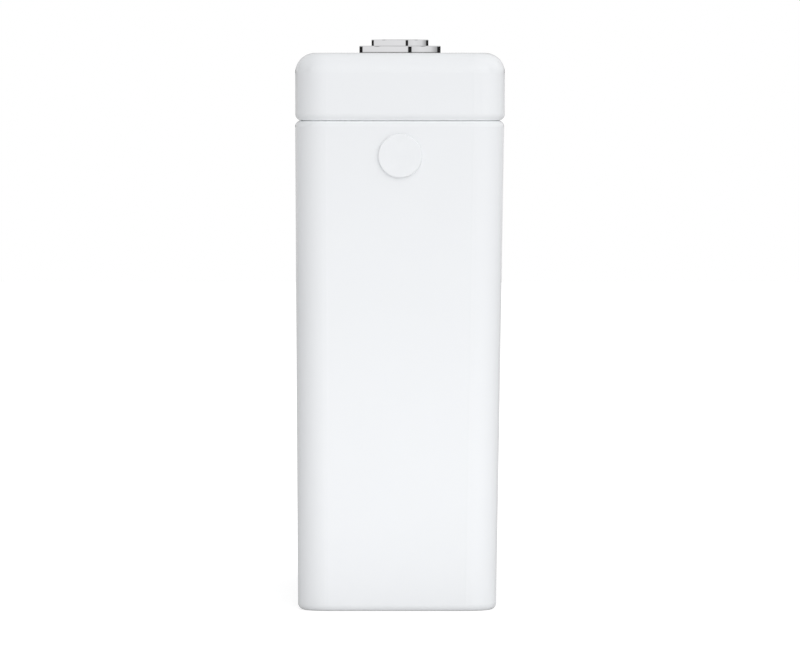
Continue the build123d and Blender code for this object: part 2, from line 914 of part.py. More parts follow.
def make_diaphragm():
    return at_fill_valve(disc(barrel_r, barrel_top, fill_cap_ceiling))


def make_fill_valve_cap():
    cap = disc(fill_cap_r, barrel_top - fill_cap_skirt, fill_cap_top)
    cap -= disc(barrel_r + fill_cap_gap, barrel_top - fill_cap_skirt - overrun, fill_cap_ceiling)
    cap -= disc(pilot_chamber_r, fill_cap_ceiling - overrun, fill_cap_ceiling + pilot_chamber_height)
    cap -= disc(pilot_r + pilot_gap, fill_cap_ceiling, fill_cap_top + overrun)
    pivot_x = -arm_pivot_offset
    inner_y = ear_spread / 2
    outer_y = inner_y + ear_thickness
    ear = block(pivot_x - ear_r, pivot_x + ear_r, inner_y, outer_y, fill_cap_top - merge, arm_pivot_z)
    ear += pin_along_y(ear_r, pivot_x, arm_pivot_z, inner_y, outer_y)
    cap += ear
    cap += mirror(ear, Plane.XZ)
    cap -= pin_along_y(arm_pin_r + slip_fit, pivot_x, arm_pivot_z, -outer_y - overrun, outer_y + overrun)
    return at_fill_valve(cap)


def make_pilot_pin():
    return at_fill_valve(disc(pilot_r, pilot_bottom, pilot_top))


# Float arm, float and rod


def make_float_lever():
    """Forked arm that the float rod lifts and that presses the pilot pin, at rest on its tilt."""
    hub_reach = ear_spread / 2 - lever_side_gap
    arm = plate_along_y(
        [
            (-arm_reach, arm_half),
            (arm_pivot_offset, arm_half),
            (arm_pivot_offset, -arm_half),
            (-arm_reach, -arm_half),
        ],
        -arm_width / 2,
        arm_width / 2,
    )
    fork_root = -arm_reach + fork_depth
    arm += block(-arm_reach, fork_root + arm_half, -fork_width / 2, fork_width / 2, -arm_half, arm_half)
    arm += pin_along_y(arm_pad_r, -arm_reach, 0, -fork_width / 2, fork_width / 2)
    arm += pin_along_y(arm_pad_r, arm_pivot_offset, 0, -arm_width / 2, arm_width / 2)
    arm += pin_along_y(arm_hub_r, 0, 0, -hub_reach, hub_reach)
    slot_half = fork_slot / 2
    slot_end = -arm_reach - arm_pad_r - overrun
    arm -= block(slot_end, fork_root, -slot_half, slot_half, -arm_hub_r, arm_hub_r)
    arm -= pin_along_y(arm_pin_r + slip_fit, 0, 0, -hub_reach - overrun, hub_reach + overrun)
    return Pos(arm_pivot_x, 0, arm_pivot_z) * Rotation(0, -arm_swing / 2, 0) * arm


def make_float_lever_pin():
    reach = ear_spread / 2 + ear_thickness + arm_pin_overhang
    return pin_along_y(arm_pin_r, arm_pivot_x, arm_pivot_z, -reach, reach)


def make_float_cup():
    """Open-bottomed float round the delivery tube, with a lug for its rod."""
    cup = disc(float_r, float_bottom, float_top)
    cup = fillet(rim_circles(cup, float_r, float_top), float_edge_r)
    cup -= disc(float_r - float_wall, float_bottom - overrun, float_top - float_wall)
    cup += ring(float_bore_r + float_wall, float_bore_r, float_bottom, float_top)
    rod_x = float_rod_x - fill_x
    lug_bottom = float_top - lug_height
    half = lug_half_width
    lug = block(rod_x - half, -float_r + float_wall, -half, half, lug_bottom, float_top)
    lug = fillet(lug.edges().filter_by(Axis.Z).group_by(Axis.X)[0], lug_half_width - merge)
    cup += lug
    cup -= disc(float_bore_r, float_top - float_wall - overrun, float_top + overrun)
    cup -= Pos(rod_x, 0, 0) * disc(float_rod_r + slip_fit, lug_bottom - overrun, float_top + overrun)
    return at_fill_valve(cup)


def make_float_rod():
    """Rod from the float to the fork, with a shoulder under the lug and a collar each side of the fork."""
    lug_underside = float_top - lug_height
    lower_collar_top = fork_pad_z - arm_pad_r - contact_gap
    upper_collar_bottom = fork_pad_z + arm_pad_r + contact_gap
    upper_collar_top = upper_collar_bottom + collar_thickness
    rod = disc(float_rod_r, lug_underside - float_rod_tail, upper_collar_top + float_rod_head)
    rod += disc(rod_shoulder_r, lug_underside - rod_shoulder_height, lug_underside)
    rod += disc(collar_r, lower_collar_top - collar_thickness, lower_collar_top)
    rod += disc(collar_r, upper_collar_bottom, upper_collar_top)
    return Pos(float_rod_x, 0, 0) * rod


def make_float_rod_nut():
    nut = hexagon(float_nut_r, float_top, float_top + float_nut_height)
    nut -= disc(float_rod_r + slip_fit, float_top - overrun, float_top + float_nut_height + overrun)
    return Pos(float_rod_x, 0, 0) * nut


# The second key, spring, rod, nut and lever are the first ones turned half round about Z
half_turn = Rotation(0, 0, 180)

save("tank_body", make_tank_body())
save("tank_lid", make_tank_lid())
save("button_bezel", make_button_bezel())
save("button_nut", make_button_nut())
for flush, turn in (("full", Rotation(0, 0, 0)), ("half", half_turn)):
    save(flush + "_flush_key", turn * make_flush_key())
    save(flush + "_key_spring", turn * make_key_spring())
    save(flush + "_push_rod", turn * make_push_rod())
    save(flush + "_rod_locknut", turn * make_rod_locknut())
    save(flush + "_flush_lever", turn * make_flush_lever())
save("valve_base", make_valve_base())
save("base_seal", make_base_seal())
save("outlet_back_nut", make_outlet_back_nut())
save("coupling_gasket", make_coupling_gasket())
save("valve_cage", make_valve_cage())
save("cage_cap", make_cage_cap())
save("lever_pivot_pin", make_lever_pivot_pin())
save("overflow_tube", make_overflow_tube())
save("seal_carrier", make_seal_carrier())
save("flush_seal", make_flush_seal())
save("flush_float", make_flush_float())
save("lift_yoke", make_lift_yoke())
save("half_lift_link", make_half_lift_link())
save("half_flush_float", make_half_flush_float())
save("blanking_plug", make_blanking_plug())
save("plug_washer", half_turn * make_washer(plug_shank_r))
save("plug_nut", make_plug_nut())
save("fill_valve_body", make_fill_valve_body())
save("inlet_washer", make_washer(inlet_tail_r))
save("inlet_nut", make_inlet_nut())
save("inlet_filter", make_inlet_filter())
save("fill_valve_cap", make_fill_valve_cap())
save("diaphragm", make_diaphragm())
save("pilot_pin", make_pilot_pin())
save("float_lever", make_float_lever())
save("float_lever_pin", make_float_lever_pin())
save("delivery_tube", make_delivery_tube())
save("float_cup", make_float_cup())
save("float_rod", make_float_rod())
save("float_rod_nut", make_float_rod_nut())

print("key travel", round(key_travel, 3), "lift", round(lift, 3))
print("float travel", round(float_travel, 3), "pilot travel", round(pilot_travel, 3))
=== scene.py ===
import json
import math

import bpy
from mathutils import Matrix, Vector


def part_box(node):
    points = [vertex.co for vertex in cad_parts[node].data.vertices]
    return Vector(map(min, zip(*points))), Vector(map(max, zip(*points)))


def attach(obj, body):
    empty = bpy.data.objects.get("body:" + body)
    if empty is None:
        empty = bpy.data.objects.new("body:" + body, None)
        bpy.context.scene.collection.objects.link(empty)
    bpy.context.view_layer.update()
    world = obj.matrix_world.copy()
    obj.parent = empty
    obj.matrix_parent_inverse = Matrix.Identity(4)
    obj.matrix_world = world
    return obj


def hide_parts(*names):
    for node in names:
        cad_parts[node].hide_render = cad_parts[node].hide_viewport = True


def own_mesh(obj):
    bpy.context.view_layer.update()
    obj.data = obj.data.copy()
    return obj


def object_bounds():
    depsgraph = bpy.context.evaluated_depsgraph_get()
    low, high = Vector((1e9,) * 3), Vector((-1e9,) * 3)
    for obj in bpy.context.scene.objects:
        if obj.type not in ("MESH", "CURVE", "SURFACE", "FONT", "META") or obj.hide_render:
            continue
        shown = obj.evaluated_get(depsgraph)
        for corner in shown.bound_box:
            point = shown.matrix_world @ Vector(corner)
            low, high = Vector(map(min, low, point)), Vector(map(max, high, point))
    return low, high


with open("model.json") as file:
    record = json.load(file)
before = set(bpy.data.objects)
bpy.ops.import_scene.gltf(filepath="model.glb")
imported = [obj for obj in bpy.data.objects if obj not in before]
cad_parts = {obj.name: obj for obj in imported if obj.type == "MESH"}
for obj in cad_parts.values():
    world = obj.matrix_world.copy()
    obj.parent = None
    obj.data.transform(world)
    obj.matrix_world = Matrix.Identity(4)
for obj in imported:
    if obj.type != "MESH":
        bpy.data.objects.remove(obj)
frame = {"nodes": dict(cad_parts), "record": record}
cad_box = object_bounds()
cad = frame["nodes"]
slot_of = {part["node"]: part["material_slot"] for part in frame["record"]["subparts"]}

# Lengths are in metres, in the frame of the solids: Z up, front towards -Y, width along X.
MM = 0.001

# The view of the photograph: from the -X side, level with the top of the lid
EYE = Vector((-5.2, 0.0, 0.40))
AIM = Vector((-0.185, 0.0, 0.2052))
LENS_MM = 316.1
SENSOR_MM = 36.0
CLIP_END = 40.0

# Rounding that the light shows on the edges of small parts
EDGE_R = 0.3 * MM

# Colours, linear
GLAZE = (0.85, 0.865, 0.885)
# A paler glaze, painted light for a band at the lid's seam
SEAM_LIGHT_GLAZE = (0.955, 0.97, 0.985)
BISCUIT = (0.80, 0.76, 0.69)
CHROME = (0.80, 0.80, 0.815)
WHITE_PLASTIC = (0.84, 0.85, 0.86)
NATURAL_PLASTIC = (0.74, 0.755, 0.76)
BLUE_PLASTIC = (0.035, 0.12, 0.36)
GREY_PLASTIC = (0.16, 0.175, 0.19)
RED_PLASTIC = (0.5, 0.03, 0.02)
RUBBER = (0.022, 0.022, 0.024)
FOAM = (0.04, 0.04, 0.042)
STEEL = (0.56, 0.56, 0.57)


# Node helpers


class Nodes:
    """A node tree, and short calls for the nodes in it."""

    def __init__(self, tree):
        self.tree = tree
        tree.nodes.clear()

    def new(self, kind):
        return self.tree.nodes.new(kind)

    def join(self, source, target):
        self.tree.links.new(source, target)

    def feed(self, target, value):
        """Gives a socket a number, a colour or the output of another node."""
        if isinstance(value, bpy.types.NodeSocket):
            self.join(value, target)
        elif isinstance(value, tuple):
            target.default_value = (*value, 1.0)
        else:
            target.default_value = value

    def coordinates(self, kind):
        return self.new("ShaderNodeTexCoord").outputs[kind]

    def axes(self, vector):
        """The outputs X, Y and Z of a vector."""
        node = self.new("ShaderNodeSeparateXYZ")
        self.join(vector, node.inputs["Vector"])
        return node.outputs

    def product(self, first, second):
        node = self.new("ShaderNodeMath")
        node.operation = "MULTIPLY"
        self.feed(node.inputs[0], first)
        self.feed(node.inputs[1], second)
        return node.outputs["Value"]

    def spread(self, source, low, high, out_low=0.0, out_high=1.0):
        """Maps a value from one range to another, and keeps it inside that."""
        node = self.new("ShaderNodeMapRange")
        self.join(source, node.inputs["Value"])
        node.inputs["From Min"].default_value = low
        node.inputs["From Max"].default_value = high
        node.inputs["To Min"].default_value = out_low
        node.inputs["To Max"].default_value = out_high
        return node.outputs["Result"]

    def mix(self, data_type, socket_type, factor, first, second):
        node = self.new("ShaderNodeMix")
        node.data_type = data_type
        self.join(factor, node.inputs["Factor"])
        ends = [s for s in node.inputs if s.type == socket_type and s.name in ("A", "B")]
        self.feed(ends[0], first)
        self.feed(ends[1], second)
        return [s for s in node.outputs if s.type == socket_type][0]

    def mixed_colour(self, factor, first, second):
        return self.mix("RGBA", "RGBA", factor, first, second)

    def mixed_level(self, factor, first, second):
        return self.mix("FLOAT", "VALUE", factor, first, second)


class Surface(Nodes):
    """A material with one Principled shader."""

    def __init__(self, name):
        self.material = bpy.data.materials.new(name)
        self.material.use_nodes = True
        super().__init__(self.material.node_tree)
        self.shader = self.new("ShaderNodeBsdfPrincipled")
        output = self.new("ShaderNodeOutputMaterial")
        self.join(self.shader.outputs["BSDF"], output.inputs["Surface"])
        self.place = self.coordinates("Object")

    def set(self, **values):
        """Constants, straight on the shader's sockets."""
        for name, value in values.items():
            self.shader.inputs[name.replace("_", " ")].default_value = value

    def stretched(self, scale):
        """The object's coordinates with each axis scaled."""
        node = self.new("ShaderNodeMapping")
        node.inputs["Scale"].default_value = scale
        self.join(self.place, node.inputs["Vector"])
        return node.outputs["Vector"]

    def noise(self, scale, detail=3.0, rough=0.5, place=None):
        node = self.new("ShaderNodeTexNoise")
        node.inputs["Scale"].default_value = scale
        node.inputs["Detail"].default_value = detail
        node.inputs["Roughness"].default_value = rough
        self.join(place or self.place, node.inputs["Vector"])
        return node.outputs["Fac"]

    def cells(self, scale):
        node = self.new("ShaderNodeTexVoronoi")
        node.inputs["Scale"].default_value = scale
        self.join(self.place, node.inputs["Vector"])
        return node.outputs["Distance"]

    def bands(self, scale, axis):
        node = self.new("ShaderNodeTexWave")
        node.bands_direction = axis
        node.inputs["Scale"].default_value = scale
        self.join(self.place, node.inputs["Vector"])
        return node.outputs["Fac"]

    def height(self):
        """The object's Z coordinate."""
        return self.axes(self.place)["Z"]

    def tint(self, colour):
        self.join(colour, self.shader.inputs["Base Color"])

    def gloss(self, source, low, high, rough_low, rough_high):
        """Roughness that follows a texture."""
        rough = self.spread(source, low, high, rough_low, rough_high)
        self.join(rough, self.shader.inputs["Roughness"])

    def soft_edges(self):
        """A normal that rounds the sharp edges of a part."""
        node = self.new("ShaderNodeBevel")
        node.inputs["Radius"].default_value = EDGE_R
        return node.outputs["Normal"]

    def relief(self, source, depth, under=None):
        """Bumps the surface by a texture, over an earlier bump if one is given."""
        node = self.new("ShaderNodeBump")
        node.inputs["Distance"].default_value = depth
        node.inputs["Strength"].default_value = 1.0
        self.join(source, node.inputs["Height"])
        if under:
            self.join(under, node.inputs["Normal"])
        return node.outputs["Normal"]

    def bend(self, normal):
        self.join(normal, self.shader.inputs["Normal"])


def shade(colour, factor):
    return tuple(channel * factor for channel in colour)


# Materials

# The part of its range that a noise mostly fills
NOISE_LOW = 0.3
NOISE_HIGH = 0.7

# The lid's seam, and how far from it the painted light in the glaze, which lightens the shade of the
# seam, starts to thin and ends
SEAM_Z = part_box("tank_body")[1].z
SEAM_FULL = 1.0 * MM
SEAM_FADE = 1.4 * MM

# Height over which the glaze ends at a bare foot
BARE_FADE = 0.4 * MM

# Heights above the foot of the chrome ring at which its painted shade starts and is full, and the tone of
# that painted shade
FOOT_START = 0.8 * MM
FOOT_FULL = 0.5 * MM
FOOT_SHADE_TONE = 0.3

# Bands to the metre of the strainer's net, and the values at its threads' edges
NET_BANDS = 190.0
NET_THREAD = 0.02
NET_HOLE = 0.12


def glazed_ceramic(name, bare_below):
    """White glaze on clay, painted paler at the lid's seam as painted light against the seam's shade; the
    clay shows at the foot.
    """
    glaze = Surface(name)
    cloud = glaze.noise(scale=9.0, detail=4.0)
    speck = glaze.noise(scale=900.0, detail=2.0)
    clouded = glaze.spread(cloud, NOISE_LOW, NOISE_HIGH)
    white = glaze.mixed_colour(clouded, shade(GLAZE, 0.992), shade(GLAZE, 1.006))
    white = glaze.mixed_colour(glaze.spread(speck, 0.72, 0.8), white, shade(GLAZE, 0.97))
    height = glaze.height()
    # Painted light: the glaze is paler in a band at the seam, to lighten the shade that falls in it
    under = glaze.spread(height, SEAM_Z - SEAM_FADE, SEAM_Z - SEAM_FULL)
    over = glaze.spread(height, SEAM_Z + SEAM_FADE, SEAM_Z + SEAM_FULL)
    white = glaze.mixed_colour(glaze.product(under, over), white, SEAM_LIGHT_GLAZE)
    bare = glaze.spread(height, bare_below + BARE_FADE, bare_below)
    glaze.tint(glaze.mixed_colour(bare, white, BISCUIT))
    ripple = glaze.relief(glaze.noise(scale=26.0, detail=2.0), depth=0.06 * MM)
    peel = glaze.noise(scale=420.0, detail=1.0)
    glaze.bend(glaze.relief(peel, depth=0.004 * MM, under=ripple))
    glaze.gloss(cloud, NOISE_LOW, NOISE_HIGH, rough_low=0.085, rough_high=0.12)
    glaze.set(IOR=1.5, Coat_Weight=0.35, Coat_Roughness=0.05)
    return glaze.material


def polished_chrome(name, foot_z=None):
    """Mirror plating, faintly smeared; a ring that stands on the lid has painted shade at its foot."""
    chrome = Surface(name)
    smear = chrome.noise(scale=60.0, detail=4.0)
    bright = chrome.mixed_colour(chrome.spread(smear, 0.35, 0.7), CHROME, shade(CHROME, 0.985))
    if foot_z:
        # Painted shade: the chrome is darkened just above the lid, where the ring stands on it
        foot = chrome.spread(chrome.height(), foot_z + FOOT_START, foot_z + FOOT_FULL)
        bright = chrome.mixed_colour(foot, bright, shade(CHROME, FOOT_SHADE_TONE))
    chrome.tint(bright)
    brushed = chrome.stretched((1.0, 0.08, 1.0))
    scratch = chrome.noise(scale=700.0, detail=5.0, rough=0.7, place=brushed)
    chrome.gloss(scratch, 0.3, 0.8, rough_low=0.008, rough_high=0.02)
    chrome.bend(chrome.relief(scratch, depth=0.0005 * MM))
    chrome.set(Metallic=1.0)
    return chrome.material


def moulded_plastic(name, colour, rough=0.3, grain=0.01):
    """Injection-moulded plastic: slight cloudiness, flow lines and a fine mould grain."""
    plastic = Surface(name)
    cloud = plastic.noise(scale=70.0)
    drawn_out = plastic.stretched((1.0, 1.0, 0.12))
    flow = plastic.noise(scale=35.0, detail=2.0, rough=0.6, place=drawn_out)
    pale = shade(colour, 1.01)
    tone = plastic.mixed_colour(plastic.spread(cloud, NOISE_LOW, NOISE_HIGH), shade(colour, 0.985), pale)
    plastic.tint(plastic.mixed_colour(plastic.spread(flow, 0.5, 0.8), tone, pale))
    waves = plastic.relief(flow, depth=0.004 * MM, under=plastic.soft_edges())
    fine = plastic.noise(scale=2600.0, detail=2.0)
    plastic.bend(plastic.relief(fine, depth=grain * MM, under=waves))
    plastic.gloss(cloud, NOISE_LOW, NOISE_HIGH, rough_low=rough * 0.9, rough_high=rough * 1.15)
    plastic.set(IOR=1.47)
    return plastic.material


def seal_rubber(name):
    """Black rubber with a little dust on it."""
    rubber = Surface(name)
    dust = rubber.noise(scale=240.0, detail=5.0, rough=0.65)
    rubber.tint(rubber.mixed_colour(rubber.spread(dust, 0.55, 0.8), RUBBER, shade(RUBBER, 2.6)))
    rubber.bend(rubber.relief(rubber.noise(scale=1500.0), depth=0.02 * MM))
    rubber.gloss(dust, NOISE_LOW, NOISE_HIGH, rough_low=0.5, rough_high=0.68)
    return rubber.material


def strainer_mesh(name):
    """Grey plastic net: square holes painted near black as painted shade where the net is open, between
    raised threads that cross.
    """
    net = Surface(name)
    upright_bands = net.product(net.bands(NET_BANDS, "Y"), net.bands(NET_BANDS, "Z"))
    holes = net.product(net.bands(NET_BANDS, "X"), upright_bands)
    hole_shade = net.spread(holes, NET_THREAD, NET_HOLE)
    # Painted shade: the open holes are painted near black, the threads a lighter grey
    net.tint(net.mixed_colour(hole_shade, shade(GREY_PLASTIC, 1.6), shade(GREY_PLASTIC, 0.12)))
    net.bend(net.relief(net.spread(holes, NET_THREAD, NET_HOLE, 1.0, 0.0), depth=0.2 * MM))
    net.gloss(net.noise(scale=300.0), NOISE_LOW, NOISE_HIGH, rough_low=0.4, rough_high=0.55)
    return net.material


def cellular_foam(name):
    """Dark foam rubber with open cells, painted darker in the pits of the cells as painted shade."""
    foam = Surface(name)
    cell = foam.cells(scale=900.0)
    # Painted shade: the cells are darker in their pits and lighter at their rims
    foam.tint(foam.mixed_colour(foam.spread(cell, 0.1, 0.6), shade(FOAM, 0.4), shade(FOAM, 1.5)))
    foam.bend(foam.relief(cell, depth=0.25 * MM))
    foam.gloss(cell, 0.0, 0.6, rough_low=0.95, rough_high=0.8)
    return foam.material


def bright_steel(name):
    """Drawn spring wire."""
    steel = Surface(name)
    drawn_out = steel.stretched((1.0, 0.05, 1.0))
    drawn = steel.noise(scale=1200.0, detail=4.0, rough=0.6, place=drawn_out)
    streak = steel.spread(drawn, NOISE_LOW, NOISE_HIGH)
    steel.tint(steel.mixed_colour(streak, shade(STEEL, 0.92), shade(STEEL, 1.06)))
    steel.gloss(drawn, NOISE_LOW, NOISE_HIGH, rough_low=0.2, rough_high=0.34)
    steel.bend(steel.relief(drawn, depth=0.004 * MM, under=steel.soft_edges()))
    steel.set(Metallic=1.0)
    return steel.material


materials = {
    "tank_glaze": glazed_ceramic("tank_glaze", 0.0),
    "lid_glaze": glazed_ceramic("lid_glaze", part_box("tank_lid")[0].z),
    "bezel_chrome": polished_chrome("bezel_chrome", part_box("tank_lid")[1].z),
    "key_chrome": polished_chrome("key_chrome"),
    "plug_white": moulded_plastic("plug_white", GLAZE, 0.16, 0.004),
    "seal_rubber": seal_rubber("seal_rubber"),
    "gasket_foam": cellular_foam("gasket_foam"),
    "nut_white": moulded_plastic("nut_white", WHITE_PLASTIC, 0.32),
    "spring_steel": bright_steel("spring_steel"),
    "rod_plastic": moulded_plastic("rod_plastic", NATURAL_PLASTIC, 0.38),
    "base_plastic": moulded_plastic("base_plastic", WHITE_PLASTIC, 0.28),
    "cage_plastic": moulded_plastic("cage_plastic", WHITE_PLASTIC, 0.28),
    "lever_plastic": moulded_plastic("lever_plastic", BLUE_PLASTIC, 0.34),
    "half_plastic": moulded_plastic("half_plastic", GREY_PLASTIC, 0.36),
    "tube_plastic": moulded_plastic("tube_plastic", NATURAL_PLASTIC, 0.3),
    "float_plastic": moulded_plastic("float_plastic", NATURAL_PLASTIC, 0.42),
    "filter_mesh": strainer_mesh("filter_mesh"),
    "pilot_plastic": moulded_plastic("pilot_plastic", RED_PLASTIC, 0.3),
}

# Each solid gets its material in place of the plain one that it came with
for node, slot_name in slot_of.items():
    cad[node].data.materials.clear()
    cad[node].data.materials.append(materials[slot_name])


# Pieces that the solids leave plain


def new_piece(name, body, slot_name, verts, faces):
    """A smooth-shaded mesh piece that rides on a body."""
    mesh = bpy.data.meshes.new(name)
    mesh.from_pydata(verts, [], faces)
    mesh.polygons.foreach_set("use_smooth", [True] * len(mesh.polygons))
    mesh.materials.append(materials[slot_name])
    piece = bpy.data.objects.new(name, mesh)
    bpy.context.scene.collection.objects.link(piece)
    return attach(piece, body)


def middle_xy(node):
    low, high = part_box(node)
    return (low.x + high.x) / 2, (low.y + high.y) / 2


def round_axis(centre, out, side, angle, z):
    """The point at a distance out from an upright axis at an angle, and off to the side of that."""
    x = centre[0] + out * math.cos(angle) - side * math.sin(angle)
    y = centre[1] + out * math.sin(angle) + side * math.cos(angle)
    return Vector((x, y, z))


# Springs under the two keys, closed and ground flat at both ends

SPRING_WIRE_R = 0.5 * MM
SPRING_TURNS = 7
SPRING_END_TURNS = 1.0
SPRING_STEPS = 28
WIRE_SIDES = 8


def round_wire(path, radius):
    """Vertices and faces of a closed-ended round wire along a list of points."""
    verts, faces = [], []
    up = Vector((0.0, 0.0, 1.0))
    for i, point in enumerate(path):
        ahead = path[min(i + 1, len(path) - 1)] - path[max(i - 1, 0)]
        side = ahead.cross(up).normalized()
        over = side.cross(ahead).normalized()
        for k in range(WIRE_SIDES):
            turn = 2 * math.pi * k / WIRE_SIDES
            verts.append(point + side * (radius * math.cos(turn)) + over * (radius * math.sin(turn)))
    for i in range(len(path) - 1):
        for k in range(WIRE_SIDES):
            a = i * WIRE_SIDES + k
            b = i * WIRE_SIDES + (k + 1) % WIRE_SIDES
            faces.append((a, b, b + WIRE_SIDES, a + WIRE_SIDES))
    last = (len(path) - 1) * WIRE_SIDES
    faces.append(tuple(range(WIRE_SIDES - 1, -1, -1)))
    faces.append(tuple(range(last, last + WIRE_SIDES)))
    return verts, faces


def key_spring(side):
    node = side + "_key_spring"
    low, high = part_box(node)
    centre = (low + high) / 2
    coil_r = (high.x - low.x) / 2 - SPRING_WIRE_R
    start, end = low.z + SPRING_WIRE_R, high.z - SPRING_WIRE_R
    closed = 2 * SPRING_WIRE_R * SPRING_END_TURNS
    total = SPRING_TURNS + 2 * SPRING_END_TURNS
    path = []
    for i in range(int(total * SPRING_STEPS) + 1):
        turn = i / SPRING_STEPS
        if turn < SPRING_END_TURNS:
            z = start + closed * turn / SPRING_END_TURNS
        elif turn > total - SPRING_END_TURNS:
            z = end - closed * (total - turn) / SPRING_END_TURNS
        else:
            share = (turn - SPRING_END_TURNS) / SPRING_TURNS
            z = start + closed + (end - start - 2 * closed) * share
        path.append(round_axis(centre, coil_r, 0.0, 2 * math.pi * turn, z))
    verts, faces = round_wire(path, SPRING_WIRE_R)
    spring = new_piece(side + "_spring_coil", "lid", "spring_steel", verts, faces)
    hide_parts(node)
    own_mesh(spring)


key_spring("full")
key_spring("half")


# Threads on the free lengths of the screwed parts

# Pitch and height of the crest
PIPE_THREAD = (1.814 * MM, 0.45 * MM)
SHANK_THREAD = (2.0 * MM, 0.6 * MM)
ROD_THREAD = (0.7 * MM, 0.22 * MM)

# Sizes of the solids that their boxes don't show
TAIL_R = 10.48 * MM
TAIL_RELIEF = 1.5 * MM
SHANK_R = 23.75 * MM
SHANK_RELIEF = 0.5 * MM
ROD_R = 2.0 * MM
ROD_TIP_HEIGHT = 4.0 * MM

THREAD_STEPS = 36
THREAD_FOOT_SHARE = 0.42

# Depth to which threads, ribs and hoops are sunk in their solids
SINK = 0.08 * MM


def screw_thread(name, body, slot_name, place, radius, length, thread):
    """Helical ridge that starts and ends flush; place turns (radius, angle, height) into a point."""
    pitch, crest = thread
    steps = int((length / pitch - 1) * THREAD_STEPS)
    foot = pitch * THREAD_FOOT_SHARE
    verts, faces = [], []
    for i in range(steps + 1):
        angle = 2 * math.pi * i / THREAD_STEPS
        middle = pitch / 2 + pitch * i / THREAD_STEPS
        rise = crest * min(1.0, 2 * i / THREAD_STEPS, 2 * (steps - i) / THREAD_STEPS)
        verts.append(place(radius - SINK, angle, middle - foot))
        verts.append(place(radius - SINK + rise, angle, middle))
        verts.append(place(radius - SINK, angle, middle + foot))
    for i in range(steps):
        a = 3 * i
        faces.append((a, a + 1, a + 4, a + 3))
        faces.append((a + 1, a + 2, a + 5, a + 4))
        faces.append((a + 2, a, a + 3, a + 5))
    faces.append((0, 2, 1))
    faces.append((3 * steps, 3 * steps + 1, 3 * steps + 2))
    return new_piece(name, body, slot_name, verts, faces)


def upright(centre, foot_z):
    """Places points round a vertical axis that stands at a foot."""

    def place(radius, angle, height):
        return round_axis(centre, radius, 0.0, angle, foot_z + height)

    return place


def level_tail(face_x, z):
    """Places points round an axis that runs along X from a face."""

    def place(radius, angle, height):
        return Vector((face_x + height, radius * math.cos(angle), z + radius * math.sin(angle)))

    return place


def thread_inlet_tail():
    tail_end_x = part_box("fill_valve_body")[1].x
    nut_low, nut_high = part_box("inlet_nut")
    length = tail_end_x - nut_high.x - TAIL_RELIEF
    place = level_tail(nut_high.x + TAIL_RELIEF, (nut_low.z + nut_high.z) / 2)
    screw_thread("inlet_thread", "tank", "tube_plastic", place, TAIL_R, length, PIPE_THREAD)


def thread_button_shank():
    foot_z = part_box("button_bezel")[0].z
    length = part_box("button_nut")[0].z - foot_z - SHANK_RELIEF
    place = upright(middle_xy("button_bezel"), foot_z)
    screw_thread("shank_thread", "lid", "bezel_chrome", place, SHANK_R, length, SHANK_THREAD)


def thread_push_rod(side):
    rod = side + "_push_rod"
    foot_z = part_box(rod)[0].z + ROD_TIP_HEIGHT
    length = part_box(side + "_rod_locknut")[0].z - foot_z
    place = upright(middle_xy(rod), foot_z)
    screw_thread(side + "_rod_thread", side + "_key", "rod_plastic", place, ROD_R, length, ROD_THREAD)


thread_inlet_tail()
thread_button_shank()
thread_push_rod("full")
thread_push_rod("half")


# Moulded ribs on the two caps and the float

RIB_SEGMENTS = 6
RIB_TIP_SIZE = 0.1
RIB_TAPER_RADII = 1.5

FILL_CAP_RIBS = 24
FILL_CAP_RIB_R = 0.6 * MM
FILL_CAP_SKIRT = 9.6 * MM
CAGE_CAP_RIBS = 36
CAGE_CAP_RIB_R = 0.7 * MM
CAGE_CAP_SKIRT = 14.0 * MM
FLOAT_RIBS = 12
FLOAT_RIB_R = 0.5 * MM
FLOAT_RIB_MARGIN = 5 * MM


def upright_ribs(name, body, slot_name, centre, radius, count, rib_r, low_z, high_z):
    """Half-round ribs spaced round a drum, with tapered ends."""
    verts, faces = [], []
    taper = RIB_TAPER_RADII * rib_r
    rows = ((low_z, RIB_TIP_SIZE), (low_z + taper, 1.0), (high_z - taper, 1.0), (high_z, RIB_TIP_SIZE))
    width = RIB_SEGMENTS + 1
    for k in range(count):
        middle = 2 * math.pi * k / count
        first = len(verts)
        for z, size in rows:
            for j in range(width):
                turn = math.pi * j / RIB_SEGMENTS
                out = radius - SINK + rib_r * size * math.sin(turn)
                side = rib_r * size * math.cos(turn)
                verts.append(round_axis(centre, out, side, middle, z))
        for row in range(len(rows) - 1):
            start = first + row * width
            for a in range(start, start + RIB_SEGMENTS):
                faces.append((a + 1, a, a + width, a + width + 1))
            faces.append((start, start + RIB_SEGMENTS, start + width + RIB_SEGMENTS, start + width))
        top = first + (len(rows) - 1) * width
        faces.append(tuple(range(first, first + width)))
        faces.append(tuple(range(top + RIB_SEGMENTS, top - 1, -1)))
    return new_piece(name, body, slot_name, verts, faces)


def grip_ribs(node, count, rib_r, skirt):
    """Ribs on the skirt at the foot of a round cap."""
    low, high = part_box(node)
    radius = (high.x - low.x) / 2
    ends = (low.z + rib_r, low.z + skirt)
    upright_ribs(node + "_ribs", "tank", slot_of[node], middle_xy(node), radius, count, rib_r, *ends)


def float_ribs():
    """Long fine ribs that stiffen the fill valve's float."""
    low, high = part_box("float_cup")
    centre = (middle_xy("delivery_tube")[0], 0.0)
    radius = high.x - centre[0]
    ends = (low.z + FLOAT_RIB_MARGIN, high.z - FLOAT_RIB_MARGIN)
    upright_ribs("float_ribs", "float", "float_plastic", centre, radius, FLOAT_RIBS, FLOAT_RIB_R, *ends)


